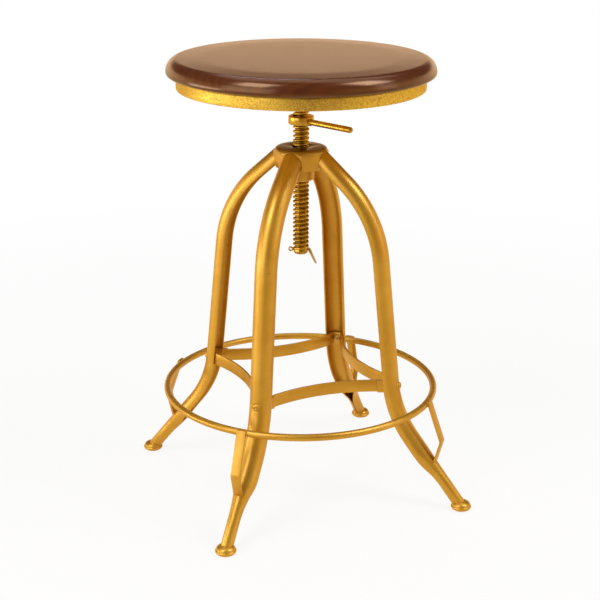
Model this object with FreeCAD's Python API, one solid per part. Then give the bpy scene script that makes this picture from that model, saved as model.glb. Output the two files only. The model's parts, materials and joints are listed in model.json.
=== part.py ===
import FreeCAD, Part
import math
import os

# Adjustable screw stool: a round wooden seat on a threaded spindle,
# four bent sheet-metal legs, a round foot ring and two pairs of braces.
# The origin is on the floor under the spindle, +Z up, and -Y is the front.
# All lengths are in millimetres and all angles in degrees.

Vec = FreeCAD.Vector
UP = Vec(0, 0, 1)
ACROSS = Vec(0, 1, 0)
ORIGIN = Vec(0, 0, 0)

# Shared clearances
run_gap = 0.3
pilot_gap = 0.05
overrun = 5.0

# Wooden seat
seat_diameter = 356.0
seat_top = 610.0
seat_top_round_in = 15.0
seat_top_round_down = 18.0
seat_low_round = 4.0
seat_recess_ceiling = 10.0

# Seat pan under the wood
pan_diameter = 330.0
pan_height = 18.5
pan_sheet = 1.6
pan_corner = 5.0
pan_hole_radius = 17.0
pan_lip = 1.2
pan_screw_circle = 145.0
pan_screw_count = 6

# Flange that joins the pan, the wood and the spindle
flange_radius = 52.0
flange_thickness = 4.5
flange_rim_round = 1.5
flange_screw_circle = 40.0
flange_screw_count = 4

# Wood screws
screw_shank_radius = 2.0
screw_head_radius = 4.2
screw_head_height = 2.2
screw_point = 3.0
screw_grip = 12.0
screw_slot_depth = 0.9
screw_slot_width = 0.9

# Spindle
thread_pitch = 6.0
thread_radius = 11.0
thread_depth = 3.0
thread_crest = 1.9
thread_root = 1.5
thread_sink = 0.4
spindle_length = 240.9
spindle_end_plain = 6.0
spindle_end_chamfer = 1.5
spindle_plain_top = 5.0
stub_radius = 6.0

# Nut and washer at the top of the spindle, in a recess in the wood
top_nut_flats = 19.0
top_nut_height = 7.5
top_washer_radius = 12.5
top_washer_thickness = 2.0

# Stop pin through the lower end of the spindle
pin_above_end = 5.5
pin_wire = 2.2
pin_eye_radius = 2.5
pin_eye_offset = 13.8
pin_exit = 10.6
pin_leg = 21.0
pin_leg_extra = 2.5
pin_leg_fall = 65.0
pin_leg_spread = 5.0
pin_bend_radius = 1.6
pin_azimuth = -21.57

# Lock nut, its lever and the friction washer under it
lock_radius = 17.0
lock_height = 11.0
lock_above_hub = 30.5
lock_chamfer = 1.0
lever_radius = 4.0
lever_drop = 1.2
lever_reach = 90.6
lever_azimuth = -65.2
lever_seat = 2.5
lock_washer_radius = 14.0
lock_washer_thickness = 2.0
lock_washer_stand = 0.5

# Hub and the threaded bush under it, with the seat screwed to its height above them
seat_above_hub = 120.0
hub_height = 28.0
hub_disc = 36.0
hub_crown = 29.0
hub_shoulder_drop = 5.0
hub_slope_reach = 52.0
hub_slope_drop = 12.0
hub_flat_top = 35.0
hub_flat_bottom = 32.5
hub_face_half_top = 15.0
hub_face_half_bottom = 10.0
hub_wall = 6.0
hub_hole_radius = 12.5
bush_radius = 18.0
bush_drop = 45.0
bush_chamfer = 1.0

# Leg: the line along its outer face, as corner places with round bends
leg_top_radius = 33.5
leg_top_drop = 1.4
leg_shoulder_radius = 121.4
leg_shoulder_drop = 79.5
leg_shoulder_bend_radius = 170.0
leg_ankle_radius = 150.4
leg_ankle_height = 134.0
leg_ankle_bend_radius = 140.0
leg_foot_radius = 247.2
leg_foot_height = 12.7
leg_places = ("back_right", "back_left", "front_left", "front_right")
first_leg_azimuth = 45.0

# Leg section: a half-round channel that closes into a tube near the foot
leg_width = 29.8
leg_flange = 2.3
leg_sheet = 2.0
tube_half_angle = 174.0
tube_flange = 0.3
tube_length = 37.0
closing_length = 58.0
closing_steps = 6

# Foot button and the glide under it
foot_radius = 14.2
foot_height = 12.5
foot_base_radius = 9.6
foot_waist_height = 5.0
foot_flat_radius = 2.5
glide_radius = 8.0
glide_thickness = 2.0
glide_proud = 0.5

# Foot ring and the bent flat bars that carry it
ring_radius = 187.2
ring_rod = 9.5
ring_height = 149.0
ring_bar_width = 12.7
ring_bar_sheet = 3.0
ring_bar_top = 153.3
ring_bar_sink = 0.7
ring_bar_knee_out = 24.5
ring_bar_knee_height = 97.0
ring_bar_knee_bend_radius = 9.0
ring_bar_bury = 1.27
ring_bar_end_height = 66.0

# Braces between neighbouring legs
brace_middle_height = 168.5
brace_bar = 17.0
brace_sheet = 3.0
brace_corner = 64.5
brace_bend_radius = 210.0
brace_nose_half = 6.2
brace_nose_bend_radius = 3.2
brace_tab = 20.0
brace_tab_start = 6.5

# Bolts through the legs and the brace noses
bolt_radius = 2.5
bolt_head_radius = 5.3
bolt_head_height = 3.0
bolt_tail = 2.5
bolt_nut_flats = 8.0
bolt_nut_height = 3.6

# Sizes that follow from the ones above
seat_radius = seat_diameter / 2
wood_bottom = seat_top - seat_top_round_down - seat_low_round
pan_radius = pan_diameter / 2
pan_top = wood_bottom
pan_bottom = pan_top - pan_height
flange_top = pan_top - pan_sheet
flange_bottom = flange_top - flange_thickness
spindle_bottom = flange_bottom - spindle_length
pin_height = spindle_bottom + pin_above_end
thread_core = thread_radius - thread_depth
bore_radius = thread_radius + run_gap
top_washer_bottom = flange_top + run_gap
top_nut_bottom = top_washer_bottom + top_washer_thickness + run_gap
leg_round = leg_width / 2
strip_half = leg_round * math.pi / 2 + leg_flange
hub_top = seat_top - seat_above_hub
hub_bottom = hub_top - hub_height
bush_bottom = hub_top - bush_drop
lock_bottom = hub_top + lock_above_hub
lock_middle = lock_bottom + lock_height / 2
lever_height = lock_middle - lever_drop
leg_top_height = hub_top - leg_top_drop
leg_shoulder_height = hub_top - leg_shoulder_drop
ring_bar_knee_radius = ring_radius + ring_bar_knee_out
leg_azimuths = {place: first_leg_azimuth + 90.0 * index for index, place in enumerate(leg_places)}


def heading_of(start, end):
    return math.degrees(math.atan2(end[1] - start[1], end[0] - start[0]))


def step_along(place, heading, length):
    turn = math.radians(heading)
    return (place[0] + length * math.cos(turn), place[1] + length * math.sin(turn))


def set_at(shape, place, heading):
    """Turn a section drawn across +X to face the heading in the XZ plane, and move it to its place."""
    moved = shape.copy()
    facing = FreeCAD.Placement(Vec(place[0], 0, place[1]), FreeCAD.Rotation(ACROSS, -heading))
    moved.Placement = facing.multiply(shape.Placement)
    return moved


def plan_path(corners, bends):
    """Straight runs and round bends along corner places: a list of (kind, place, heading, amount, radius)."""
    steps = []
    place = corners[0]
    for index, bend in enumerate(bends):
        corner = corners[index + 1]
        before = heading_of(corners[index], corner)
        after = heading_of(corner, corners[index + 2])
        turn = (after - before + 180.0) % 360.0 - 180.0
        setback = bend * math.tan(math.radians(abs(turn) / 2))
        length = math.dist(place, corner) - setback
        steps.append(("run", place, before, length, 0))
        place = step_along(place, before, length)
        steps.append(("bend", place, before, turn, bend))
        place = step_along(corner, after, setback)
    last = heading_of(corners[-2], corners[-1])
    steps.append(("run", place, last, math.dist(place, corners[-1]), 0))
    return steps


def bar_along(steps, section):
    """A bar of one section along the steps of a path in the XZ plane."""
    pieces = []
    for kind, place, heading, amount, radius in steps:
        face = set_at(section, place, heading)
        turn = math.radians(heading)
        if kind == "run":
            pieces.append(face.extrude(Vec(math.cos(turn), 0, math.sin(turn)) * amount))
        else:
            side = math.copysign(radius, amount)
            centre = Vec(place[0] - side * math.sin(turn), 0, place[1] + side * math.cos(turn))
            pieces.append(face.revolve(centre, ACROSS, -amount))
    return pieces[0].fuse(pieces[1:]).removeSplitter()


def outline(points):
    """A flat face in the XZ plane through (radius, height) points."""
    places = [Vec(x, 0, z) for x, z in points]
    return Part.Face(Part.makePolygon(places + places[:1]))


def turned(points):
    return outline(points).revolve(ORIGIN, UP, 360)


def rod(radius, bottom, top):
    return Part.makeCylinder(radius, top - bottom, Vec(0, 0, bottom))


def around(shape, azimuth):
    copy = shape.copy()
    copy.rotate(ORIGIN, UP, azimuth)
    return copy


def laid_flat(shape):
    """Turn a shape drawn in the XZ plane down into the XY plane, so that its Z becomes Y."""
    copy = shape.copy()
    copy.rotate(ORIGIN, Vec(1, 0, 0), -90)
    return copy


def hexagon(flats, bottom, height):
    corner = flats / math.sqrt(3)
    points = []
    for index in range(6):
        angle = math.radians(60 * index)
        points.append(Vec(corner * math.cos(angle), corner * math.sin(angle), bottom))
    return Part.Face(Part.makePolygon(points + points[:1])).extrude(UP * height)


def rectangle(width, thickness):
    """A section across +X: the width lies along Y, the thickness along Z."""
    y = width / 2
    z = thickness / 2
    places = [Vec(0, -y, -z), Vec(0, y, -z), Vec(0, y, z), Vec(0, -y, z)]
    return Part.Face(Part.makePolygon(places + places[:1]))


def disc(radius):
    return Part.Face(Part.Wire(Part.makeCircle(radius, ORIGIN, Vec(1, 0, 0))))


def quarter_ellipse(centre, out, up):
    """The edge of an ellipse in the XZ plane, from its outermost point to its top."""
    ellipse = Part.Ellipse(centre, max(out, up), min(out, up))
    ellipse.Axis = Vec(0, -1, 0)
    if up > out:
        ellipse.XAxis = UP
        return Part.Edge(ellipse.trim(-math.pi / 2, 0))
    ellipse.XAxis = Vec(1, 0, 0)
    return Part.Edge(ellipse.trim(0, math.pi / 2))


def turned_edges(edges):
    return Part.Face(Part.Wire(Part.__sortEdges__(edges))).revolve(ORIGIN, UP, 360)


# Seat
def make_wood_seat():
    side = wood_bottom + seat_low_round
    round_centre = Vec(seat_radius - seat_top_round_in, 0, side)
    edges = [quarter_ellipse(round_centre, seat_top_round_in, seat_top_round_down)]
    rim = Vec(seat_radius, 0, side)
    top_edge = Vec(seat_radius - seat_top_round_in, 0, seat_top)
    low = seat_low_round
    low_centre = Vec(seat_radius - low, 0, side)
    low_turn = math.radians(-45)
    low_middle = low_centre + Vec(low * math.cos(low_turn), 0, low * math.sin(low_turn))
    low_end = Vec(seat_radius - low, 0, wood_bottom)
    edges.append(Part.Arc(rim, low_middle, low_end).toShape())
    edges.append(Part.makeLine(low_end, Vec(0, 0, wood_bottom)))
    edges.append(Part.makeLine(Vec(0, 0, wood_bottom), Vec(0, 0, seat_top)))
    edges.append(Part.makeLine(Vec(0, 0, seat_top), top_edge))
    seat = turned_edges(edges)
    recess_top = seat_top - seat_recess_ceiling
    seat = seat.cut(rod(pan_hole_radius, wood_bottom - overrun, recess_top))
    for place in screw_places():
        hole = rod(screw_shank_radius + pilot_gap, wood_bottom - overrun, wood_bottom + screw_grip)
        hole.translate(place)
        seat = seat.cut(hole)
    return seat


def circle_places(radius, count, start_share):
    places = []
    for index in range(count):
        angle = 2 * math.pi * (index + start_share) / count
        places.append(Vec(radius * math.cos(angle), radius * math.sin(angle), 0))
    return places


def pan_screw_places():
    return circle_places(pan_screw_circle, pan_screw_count, start_share=0.25)


def flange_screw_places():
    return circle_places(flange_screw_circle, flange_screw_count, start_share=0.5)


def screw_places():
    return pan_screw_places() + flange_screw_places()


def make_seat_pan():
    inner = pan_radius - pan_sheet
    outer_edge = (pan_radius, pan_top - pan_corner)
    lip_in = inner - pan_lip
    points = [
        (pan_hole_radius, pan_top),
        (pan_radius - pan_corner, pan_top),
        outer_edge,
        (pan_radius, pan_bottom),
        (lip_in, pan_bottom),
        (lip_in, pan_bottom + pan_sheet),
        (inner, pan_bottom + pan_sheet),
        (inner, pan_top - pan_corner),
        (pan_radius - pan_corner, pan_top - pan_sheet),
        (pan_hole_radius, pan_top - pan_sheet),
    ]
    pan = turned(points)
    for place in pan_screw_places():
        pan = pan.cut(screw_seat(flange_top, pan_sheet, place))
    for place in flange_screw_places():
        hole = rod(screw_shank_radius + pilot_gap, flange_top - overrun, pan_top + overrun)
        hole.translate(place)
        pan = pan.cut(hole)
    return pan


def make_seat_flange():
    flange = turned([
        (stub_radius, flange_top),
        (flange_radius, flange_top),
        (flange_radius, flange_bottom + flange_rim_round),
        (flange_radius - flange_rim_round, flange_bottom),
        (stub_radius, flange_bottom),
    ])
    for place in flange_screw_places():
        flange = flange.cut(screw_seat(flange_bottom, flange_thickness, place))
    return flange


# Wood screws, heads down
def screw_seat(surface, thickness, place):
    """The countersunk hole for a screw that enters upwards from the surface."""
    hole = rod(screw_shank_radius + pilot_gap, surface - overrun, surface + thickness + overrun)
    sink = min(screw_head_height, thickness)
    cone = Part.makeCone(
        screw_head_radius + pilot_gap, screw_shank_radius + pilot_gap, sink, Vec(0, 0, surface)
    )
    hole = hole.fuse(cone)
    hole.translate(place)
    return hole


def make_screw(surface, thickness, place):
    sink = min(screw_head_height, thickness)
    tip = wood_bottom + screw_grip
    screw = Part.makeCone(screw_head_radius, screw_shank_radius, sink, Vec(0, 0, surface))
    screw = screw.fuse(rod(screw_shank_radius, surface, tip - screw_point))
    point = Part.makeCone(screw_shank_radius, 0, screw_point, Vec(0, 0, tip - screw_point))
    screw = screw.fuse(point)
    reach = screw_head_radius - screw_slot_width
    slot = min(screw_slot_depth, sink / 2)
    for across in (0, 90):
        cross = Part.makeBox(2 * reach, screw_slot_width, slot)
        cross.translate(Vec(-reach, -screw_slot_width / 2, surface))
        cross.rotate(ORIGIN, UP, across)
        screw = screw.cut(cross)
    screw.translate(place)
    return screw.removeSplitter()


def make_pan_screws():
    return Part.makeCompound([make_screw(flange_top, pan_sheet, p) for p in pan_screw_places()])


def make_flange_screws():
    screws = [make_screw(flange_bottom, flange_thickness, p) for p in flange_screw_places()]
    return Part.makeCompound(screws)


# Spindle and what is on it
def make_spindle():
    thread_bottom = spindle_bottom + spindle_end_plain
    thread_top = flange_bottom - spindle_plain_top
    end_radius = thread_radius - spindle_end_chamfer
    stub_top = top_nut_bottom + top_nut_height + run_gap
    core = turned([
        (0, spindle_bottom),
        (end_radius - spindle_end_chamfer, spindle_bottom),
        (end_radius, spindle_bottom + spindle_end_chamfer),
        (end_radius, thread_bottom),
        (thread_core, thread_bottom + spindle_end_chamfer),
        (thread_core, thread_top),
        (end_radius, thread_top + spindle_end_chamfer),
        (end_radius, flange_bottom),
        (stub_radius, flange_bottom),
        (stub_radius, stub_top),
        (0, stub_top),
    ])
    spindle = core.fuse(make_thread(thread_bottom, thread_top))
    reach = thread_radius + overrun
    start = Vec(-reach, 0, pin_height)
    hole = Part.makeCylinder(pin_wire + pilot_gap, 2 * reach, start, Vec(1, 0, 0))
    return spindle.cut(around(hole, pin_azimuth))


def make_thread(bottom, top):
    start = bottom - thread_pitch / 4
    height = top - start - thread_pitch / 2
    inner = thread_core - thread_sink
    half_root = (thread_pitch - thread_root) / 2
    half_crest = thread_crest / 2
    helix = Part.makeHelix(thread_pitch, height, thread_core)
    helix.translate(UP * start)
    profile = Part.makePolygon([
        Vec(inner, 0, start - half_root),
        Vec(thread_radius, 0, start - half_crest),
        Vec(thread_radius, 0, start + half_crest),
        Vec(inner, 0, start + half_root),
        Vec(inner, 0, start - half_root),
    ])
    return Part.Wire(helix.Edges).makePipeShell([profile], True, True)


def make_top_washer():
    washer = rod(top_washer_radius, top_washer_bottom, top_washer_bottom + top_washer_thickness)
    return washer.cut(rod(stub_radius + run_gap, flange_top, seat_top))


def make_top_nut():
    nut = hexagon(top_nut_flats, top_nut_bottom, top_nut_height)
    return nut.cut(rod(stub_radius, flange_top, seat_top))


def make_stop_pin():
    """A split pin of round wire: an eye, two halves through the spindle and two legs bent down."""
    half = pin_wire / 2
    wire = disc(half)
    pieces = []
    for side in (1, -1):
        fall = pin_leg_fall + side * pin_leg_spread / 2
        start = (-pin_eye_offset + pin_eye_radius, side * half)
        corner = (pin_exit + (pin_bend_radius if side > 0 else 0), side * half)
        end = step_along(corner, -fall, pin_leg + (pin_leg_extra if side > 0 else 0))
        bend = pin_bend_radius + (pin_wire if side > 0 else 0)
        pieces.append(bar_along(plan_path([start, corner, end], [bend]), wire))
    eye = Part.makeTorus(pin_eye_radius, half, Vec(-pin_eye_offset, 0, 0), ACROSS)
    pin = eye.fuse(pieces).removeSplitter()
    pin.translate(UP * pin_height)
    return around(pin, pin_azimuth)


# Lock nut, lever and friction washer
def make_lock_nut():
    top = lock_bottom + lock_height
    nut = turned([
        (bore_radius, lock_bottom),
        (lock_radius - lock_chamfer, lock_bottom),
        (lock_radius, lock_bottom + lock_chamfer),
        (lock_radius, top - lock_chamfer),
        (lock_radius - lock_chamfer, top),
        (bore_radius, top),
    ])
    seat_height = lock_washer_thickness - lock_washer_stand + run_gap
    nut = nut.cut(rod(lock_washer_radius + run_gap, lock_bottom - overrun, lock_bottom + seat_height))
    return nut.cut(lever_rod(lock_radius - lever_seat, lever_radius, lock_radius))


def lever_rod(start, radius, reach):
    turn = math.radians(lever_azimuth)
    along = Vec(math.cos(turn), math.sin(turn), 0)
    return Part.makeCylinder(radius, reach, along * start + UP * lever_height, along)


def make_lock_lever():
    start = lock_radius - lever_seat
    straight = lever_reach - lever_radius
    lever = lever_rod(start, lever_radius, straight - start)
    end = Vec(straight, 0, lever_height)
    knob = around(Part.makeSphere(lever_radius, end), lever_azimuth)
    return lever.fuse(knob).removeSplitter()


def make_lock_washer():
    bottom = lock_bottom - lock_washer_stand
    washer = rod(lock_washer_radius, bottom, bottom + lock_washer_thickness)
    return washer.cut(rod(bore_radius, bottom - overrun, lock_middle))


# Hub and bush
def make_hub():
    """A round crown over a block with four flat faces, and four narrower ones that the legs stand against."""
    middle_drop = hub_shoulder_drop * (1 - math.sqrt(0.5))
    crown_run = hub_disc - hub_crown
    shoulder = Part.Arc(
        Vec(hub_crown, 0, hub_top),
        Vec(hub_crown + crown_run * math.sqrt(0.5), 0, hub_top - middle_drop),
        Vec(hub_disc, 0, hub_top - hub_shoulder_drop),
    ).toShape()
    places = [
        Vec(hub_disc, 0, hub_top - hub_shoulder_drop),
        Vec(hub_slope_reach, 0, hub_top - hub_slope_drop),
        Vec(hub_slope_reach, 0, hub_bottom),
        Vec(hub_hole_radius, 0, hub_bottom),
        Vec(hub_hole_radius, 0, hub_top),
        Vec(hub_crown, 0, hub_top),
    ]
    edges = [shoulder] + [Part.makeLine(a, b) for a, b in zip(places, places[1:])]
    turned_body = turned_edges(edges)
    sides = []
    for flat, half, height in (
        (hub_flat_bottom, hub_face_half_bottom, hub_bottom),
        (hub_flat_top, hub_face_half_top, hub_top),
    ):
        corners = [(flat, -half), (flat, half), (half, flat), (-half, flat)]
        corners += [(-x, -y) for x, y in corners]
        ends = [Vec(x, y, height) for x, y in corners]
        sides.append(Part.makePolygon(ends + ends[:1]))
    flats = Part.makeLoft(sides, True, True)
    hub = turned_body.common(flats)
    bush_space = rod(bush_radius, hub_bottom - overrun, hub_top - hub_wall)
    return hub.cut(bush_space).removeSplitter()


def make_spindle_bush():
    return turned([
        (bore_radius, bush_bottom),
        (bush_radius - bush_chamfer, bush_bottom),
        (bush_radius, bush_bottom + bush_chamfer),
        (bush_radius, hub_top - hub_wall),
        (bore_radius, hub_top - hub_wall),
    ])


# Legs
def leg_wire(half_angle, flange):
    """The closed sheet section across +X: its outermost point at Z 0, its open side downwards."""
    turn = math.radians(half_angle)
    outer = (strip_half - flange) / turn
    edges = []
    tips = []
    for radius, way in ((outer, 1), (outer - leg_sheet, -1)):
        centre = Vec(0, 0, -outer)
        ends = []
        for side in (-way, way):
            spot = centre + Vec(0, side * radius * math.sin(turn), radius * math.cos(turn))
            tip = spot + Vec(0, side * flange * math.cos(turn), -flange * math.sin(turn))
            ends.append((spot, tip))
        top = centre + Vec(0, 0, radius)
        edges.append(Part.makeLine(ends[0][1], ends[0][0]))
        edges.append(Part.Arc(ends[0][0], top, ends[1][0]).toShape())
        edges.append(Part.makeLine(ends[1][0], ends[1][1]))
        tips.append((ends[0][1], ends[1][1]))
    edges.insert(3, Part.makeLine(tips[0][1], tips[1][0]))
    edges.append(Part.makeLine(tips[1][1], tips[0][0]))
    return Part.Wire(edges)


def leg_steps():
    corners = [
        (leg_top_radius, leg_top_height),
        (leg_shoulder_radius, leg_shoulder_height),
        (leg_ankle_radius, leg_ankle_height),
        (leg_foot_radius, leg_foot_height),
    ]
    return plan_path(corners, [leg_shoulder_bend_radius, leg_ankle_bend_radius])


def make_leg(hub, foot):
    steps = leg_steps()
    kind, place, heading, length, radius = steps[-1]
    open_length = length - tube_length - closing_length
    steps[-1] = (kind, place, heading, open_length, radius)
    channel = bar_along(steps, Part.Face(leg_wire(90.0, leg_flange)))
    start = step_along(place, heading, open_length)
    wires = []
    for index in range(closing_steps + 1):
        share = index / closing_steps
        eased = share * share * (3 - 2 * share)
        half_angle = 90.0 + (tube_half_angle - 90.0) * eased
        flange = leg_flange + (tube_flange - leg_flange) * eased
        spot = step_along(start, heading, closing_length * share)
        wires.append(set_at(leg_wire(half_angle, flange), spot, heading))
    closing = Part.makeLoft(wires, True, False)
    tube_start = step_along(start, heading, closing_length)
    section = Part.Face(leg_wire(tube_half_angle, tube_flange))
    tube = bar_along([("run", tube_start, heading, tube_length, 0)], section)
    leg = channel.fuse([closing, tube])
    leg = leg.cut(around(hub, -45)).cut(foot)
    leg = leg.cut(bolt_hole())
    return largest(leg.removeSplitter())


def largest(shape):
    return max(shape.Solids, key=lambda solid: solid.Volume)


def foot_centre():
    """Where the middle of the leg's tube meets the height of the foot's waist."""
    heading = heading_of((leg_ankle_radius, leg_ankle_height), (leg_foot_radius, leg_foot_height))
    tube_radius = (strip_half - tube_flange) / math.radians(tube_half_angle)
    axis = step_along((leg_foot_radius, leg_foot_height), heading - 90, tube_radius)
    drop = axis[1] - foot_waist_height
    return axis[0] + drop / math.tan(math.radians(-heading))


def make_foot():
    low_middle = (foot_radius + foot_base_radius) / 2
    bulge = (foot_radius - foot_base_radius) / 4
    side = Part.Arc(
        Vec(foot_base_radius, 0, 0),
        Vec(low_middle + bulge, 0, foot_waist_height / 2 - bulge),
        Vec(foot_radius, 0, foot_waist_height),
    ).toShape()
    crown = Vec(foot_flat_radius, 0, foot_waist_height)
    dome = quarter_ellipse(crown, foot_radius - foot_flat_radius, foot_height - foot_waist_height)
    top = Vec(0, 0, foot_height)
    edges = [side, dome, Part.makeLine(Vec(foot_flat_radius, 0, foot_height), top)]
    edges.append(Part.makeLine(top, ORIGIN))
    edges.append(Part.makeLine(ORIGIN, Vec(foot_base_radius, 0, 0)))
    foot = turned_edges(edges)
    foot.translate(UP * glide_proud)
    foot = foot.cut(rod(glide_radius, -overrun, glide_thickness))
    foot.translate(Vec(foot_centre(), 0, 0))
    return foot


def make_glide():
    glide = rod(glide_radius, 0, glide_thickness)
    glide.translate(Vec(foot_centre(), 0, 0))
    return glide


# Foot ring and its bars
def make_foot_ring():
    return Part.makeTorus(ring_radius, ring_rod / 2, UP * ring_height, UP)


def make_ring_bar(leg, ring):
    """The bar leans in from its knee until it bears on the outside of the ring."""
    knee = (ring_bar_knee_radius, ring_bar_knee_height)
    ring_middle = (ring_radius, ring_height)
    apart = (ring_rod + ring_bar_sheet) / 2 - ring_bar_sink
    lean = heading_of(knee, ring_middle) - math.degrees(math.asin(apart / math.dist(knee, ring_middle)))
    top_radius = knee[0] + (ring_bar_top - knee[1]) / math.tan(math.radians(lean))
    end_radius = leg_face_radius(ring_bar_end_height) - ring_bar_bury
    corners = [(top_radius, ring_bar_top), knee, (end_radius, ring_bar_end_height)]
    section = rectangle(ring_bar_width, ring_bar_sheet)
    bar = bar_along(plan_path(corners, [ring_bar_knee_bend_radius]), section)
    return largest(bar.cut(leg).cut(ring))


# Braces
def nose_radius():
    """How far out the middle of the nose lies, where its corners clear the inside of the leg."""
    low = brace_middle_height - brace_bar / 2
    high = brace_middle_height + brace_bar / 2
    face = min(leg_face_radius(low), leg_face_radius(high))
    inner = leg_round - leg_sheet
    reach = brace_nose_half + brace_sheet / 2
    hollow = inner - math.sqrt(inner ** 2 - reach ** 2)
    return face - leg_sheet - hollow - brace_sheet / 2 - run_gap


def nose_corner(side):
    """A corner of the brace's nose in the leg at the front left, in plan."""
    turn = math.radians(leg_azimuths["front_left"])
    along = (math.cos(turn), math.sin(turn))
    aside = (-math.sin(turn), math.cos(turn))
    return (
        nose_radius() * along[0] + side * brace_nose_half * aside[0],
        nose_radius() * along[1] + side * brace_nose_half * aside[1],
    )


def brace_section():
    return rectangle(brace_bar, brace_sheet)


def make_side_brace():
    """The left brace: an arc between two folded noses, each with a short tab that turns back."""
    inner = nose_corner(-1)
    outer = nose_corner(1)
    tab_end = step_along(outer, heading_of(outer, (0, -brace_corner)), brace_tab)
    front = [tab_end, outer, inner]
    back = [(x, -y) for x, y in reversed(front)]
    corners = front + [(-brace_corner, 0)] + back
    nose_bends = [brace_nose_bend_radius, brace_nose_bend_radius]
    return bar_in_plan(corners, nose_bends + [brace_bend_radius] + nose_bends)


def bar_in_plan(corners, bends):
    bar = laid_flat(bar_along(plan_path(corners, bends), brace_section()))
    bar.translate(UP * brace_middle_height)
    return bar


def make_end_brace():
    """The front brace: a plain arc that laps the tabs of the two side braces on their inner side."""
    outer = nose_corner(1)
    middle = (0, -brace_corner)
    heading = heading_of(outer, middle)
    lift = brace_sheet / math.cos(math.radians(heading))
    lapped = step_along(outer, heading, brace_tab_start)
    start = step_along(lapped, heading + 90, brace_sheet)
    corners = [start, (0, -brace_corner + lift), (-start[0], start[1])]
    return bar_in_plan(corners, [brace_bend_radius])


# Bolts through the noses, drawn on the +X axis
def leg_face_radius(height):
    """The radius of the leg's outermost line at a height."""
    for kind, place, heading, amount, radius in leg_steps():
        turn = math.radians(heading)
        if kind == "run":
            if height >= place[1] + amount * math.sin(turn):
                return place[0] + (height - place[1]) / math.tan(turn)
            continue
        side = math.copysign(radius, amount)
        centre = (place[0] - side * math.sin(turn), place[1] + side * math.cos(turn))
        if height >= centre[1] - side * math.cos(math.radians(heading + amount)):
            return centre[0] - math.copysign(math.sqrt(radius ** 2 - (height - centre[1]) ** 2), side)
    return leg_foot_radius


def rod_across(radius, start, end):
    """A rod along the +X axis at the height of the bolts."""
    return Part.makeCylinder(radius, end - start, Vec(start, 0, brace_middle_height), Vec(1, 0, 0))


def bolt_hole():
    inside = nose_radius() - brace_sheet - overrun
    return rod_across(bolt_radius, inside, leg_face_radius(brace_middle_height) + overrun)


def make_bolt(leg):
    face = leg_face_radius(brace_middle_height)
    nut_face = nose_radius() - brace_sheet / 2
    tail = nut_face - bolt_nut_height - bolt_tail
    ball = (bolt_head_radius ** 2 + bolt_head_height ** 2) / (2 * bolt_head_height)
    dome = Part.makeSphere(ball, Vec(face + bolt_head_height - ball, 0, brace_middle_height))
    head = dome.common(rod_across(bolt_head_radius, face, face + bolt_head_height + overrun))
    head = head.fuse(rod_across(bolt_head_radius, face - leg_sheet / 2, face))
    bolt = head.cut(leg).fuse(rod_across(bolt_radius, tail, face))
    return largest(bolt.removeSplitter())


def make_bolt_nut():
    nut_face = nose_radius() - brace_sheet / 2
    nut = hexagon(bolt_nut_flats, 0, bolt_nut_height)
    nut = nut.cut(rod(bolt_radius, -overrun, bolt_nut_height + overrun))
    nut.rotate(ORIGIN, ACROSS, -90)
    nut.translate(Vec(nut_face, 0, brace_middle_height))
    return nut


def at_each_leg(shape):
    return Part.makeCompound([around(shape, azimuth) for azimuth in leg_azimuths.values()])


def holed(brace):
    return brace.cut(at_each_leg(bolt_hole())).removeSplitter()


# Build and write every piece
def build():
    hub = make_hub()
    foot = make_foot()
    leg = make_leg(hub, foot)
    ring = make_foot_ring()
    ring_bar = make_ring_bar(leg, ring)
    side_brace = holed(make_side_brace())
    end_brace = make_end_brace()
    nodes = {
        "wood_seat": make_wood_seat(),
        "seat_pan": make_seat_pan(),
        "seat_flange": make_seat_flange(),
        "pan_screws": make_pan_screws(),
        "flange_screws": make_flange_screws(),
        "spindle": make_spindle(),
        "spindle_top_nut": make_top_nut(),
        "spindle_top_washer": make_top_washer(),
        "stop_pin": make_stop_pin(),
        "lock_nut": make_lock_nut(),
        "lock_lever": make_lock_lever(),
        "lock_washer": make_lock_washer(),
        "hub": hub,
        "spindle_bush": make_spindle_bush(),
        "foot_ring": ring,
        "brace_left": side_brace,
        "brace_right": around(side_brace, 180),
        "brace_front": end_brace,
        "brace_back": around(end_brace, 180),
        "brace_bolts": at_each_leg(make_bolt(leg)),
        "brace_nuts": at_each_leg(make_bolt_nut()),
    }
    for place, azimuth in leg_azimuths.items():
        nodes["leg_" + place] = around(leg, azimuth)
        nodes["foot_" + place] = around(foot, azimuth)
        nodes["glide_" + place] = around(make_glide(), azimuth)
        nodes["ring_bar_" + place] = around(ring_bar, azimuth)
    return nodes


os.makedirs("parts", exist_ok=True)
for name, shape in build().items():
    shape.exportStep("parts/" + name + ".step")
    print(name, len(shape.Solids), "solids", shape.isValid(), round(shape.Volume), "mm3")
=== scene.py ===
# %% [markdown]
# # A screw stool in gold paint and dark wood
# The measured model comes first: every screw, bracket and bend is already in the
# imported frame, in metres, standing where it belongs. This lesson dresses it. Each
# step says what a piece is on the real stool, how it could be made, and why it is
# made this way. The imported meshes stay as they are, and a new piece takes the place
# of the ones that it names.

# %% Load the measured frame
import json
import math

import bmesh
import bpy
from mathutils import Matrix, Vector
from mathutils.bvhtree import BVHTree


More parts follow.
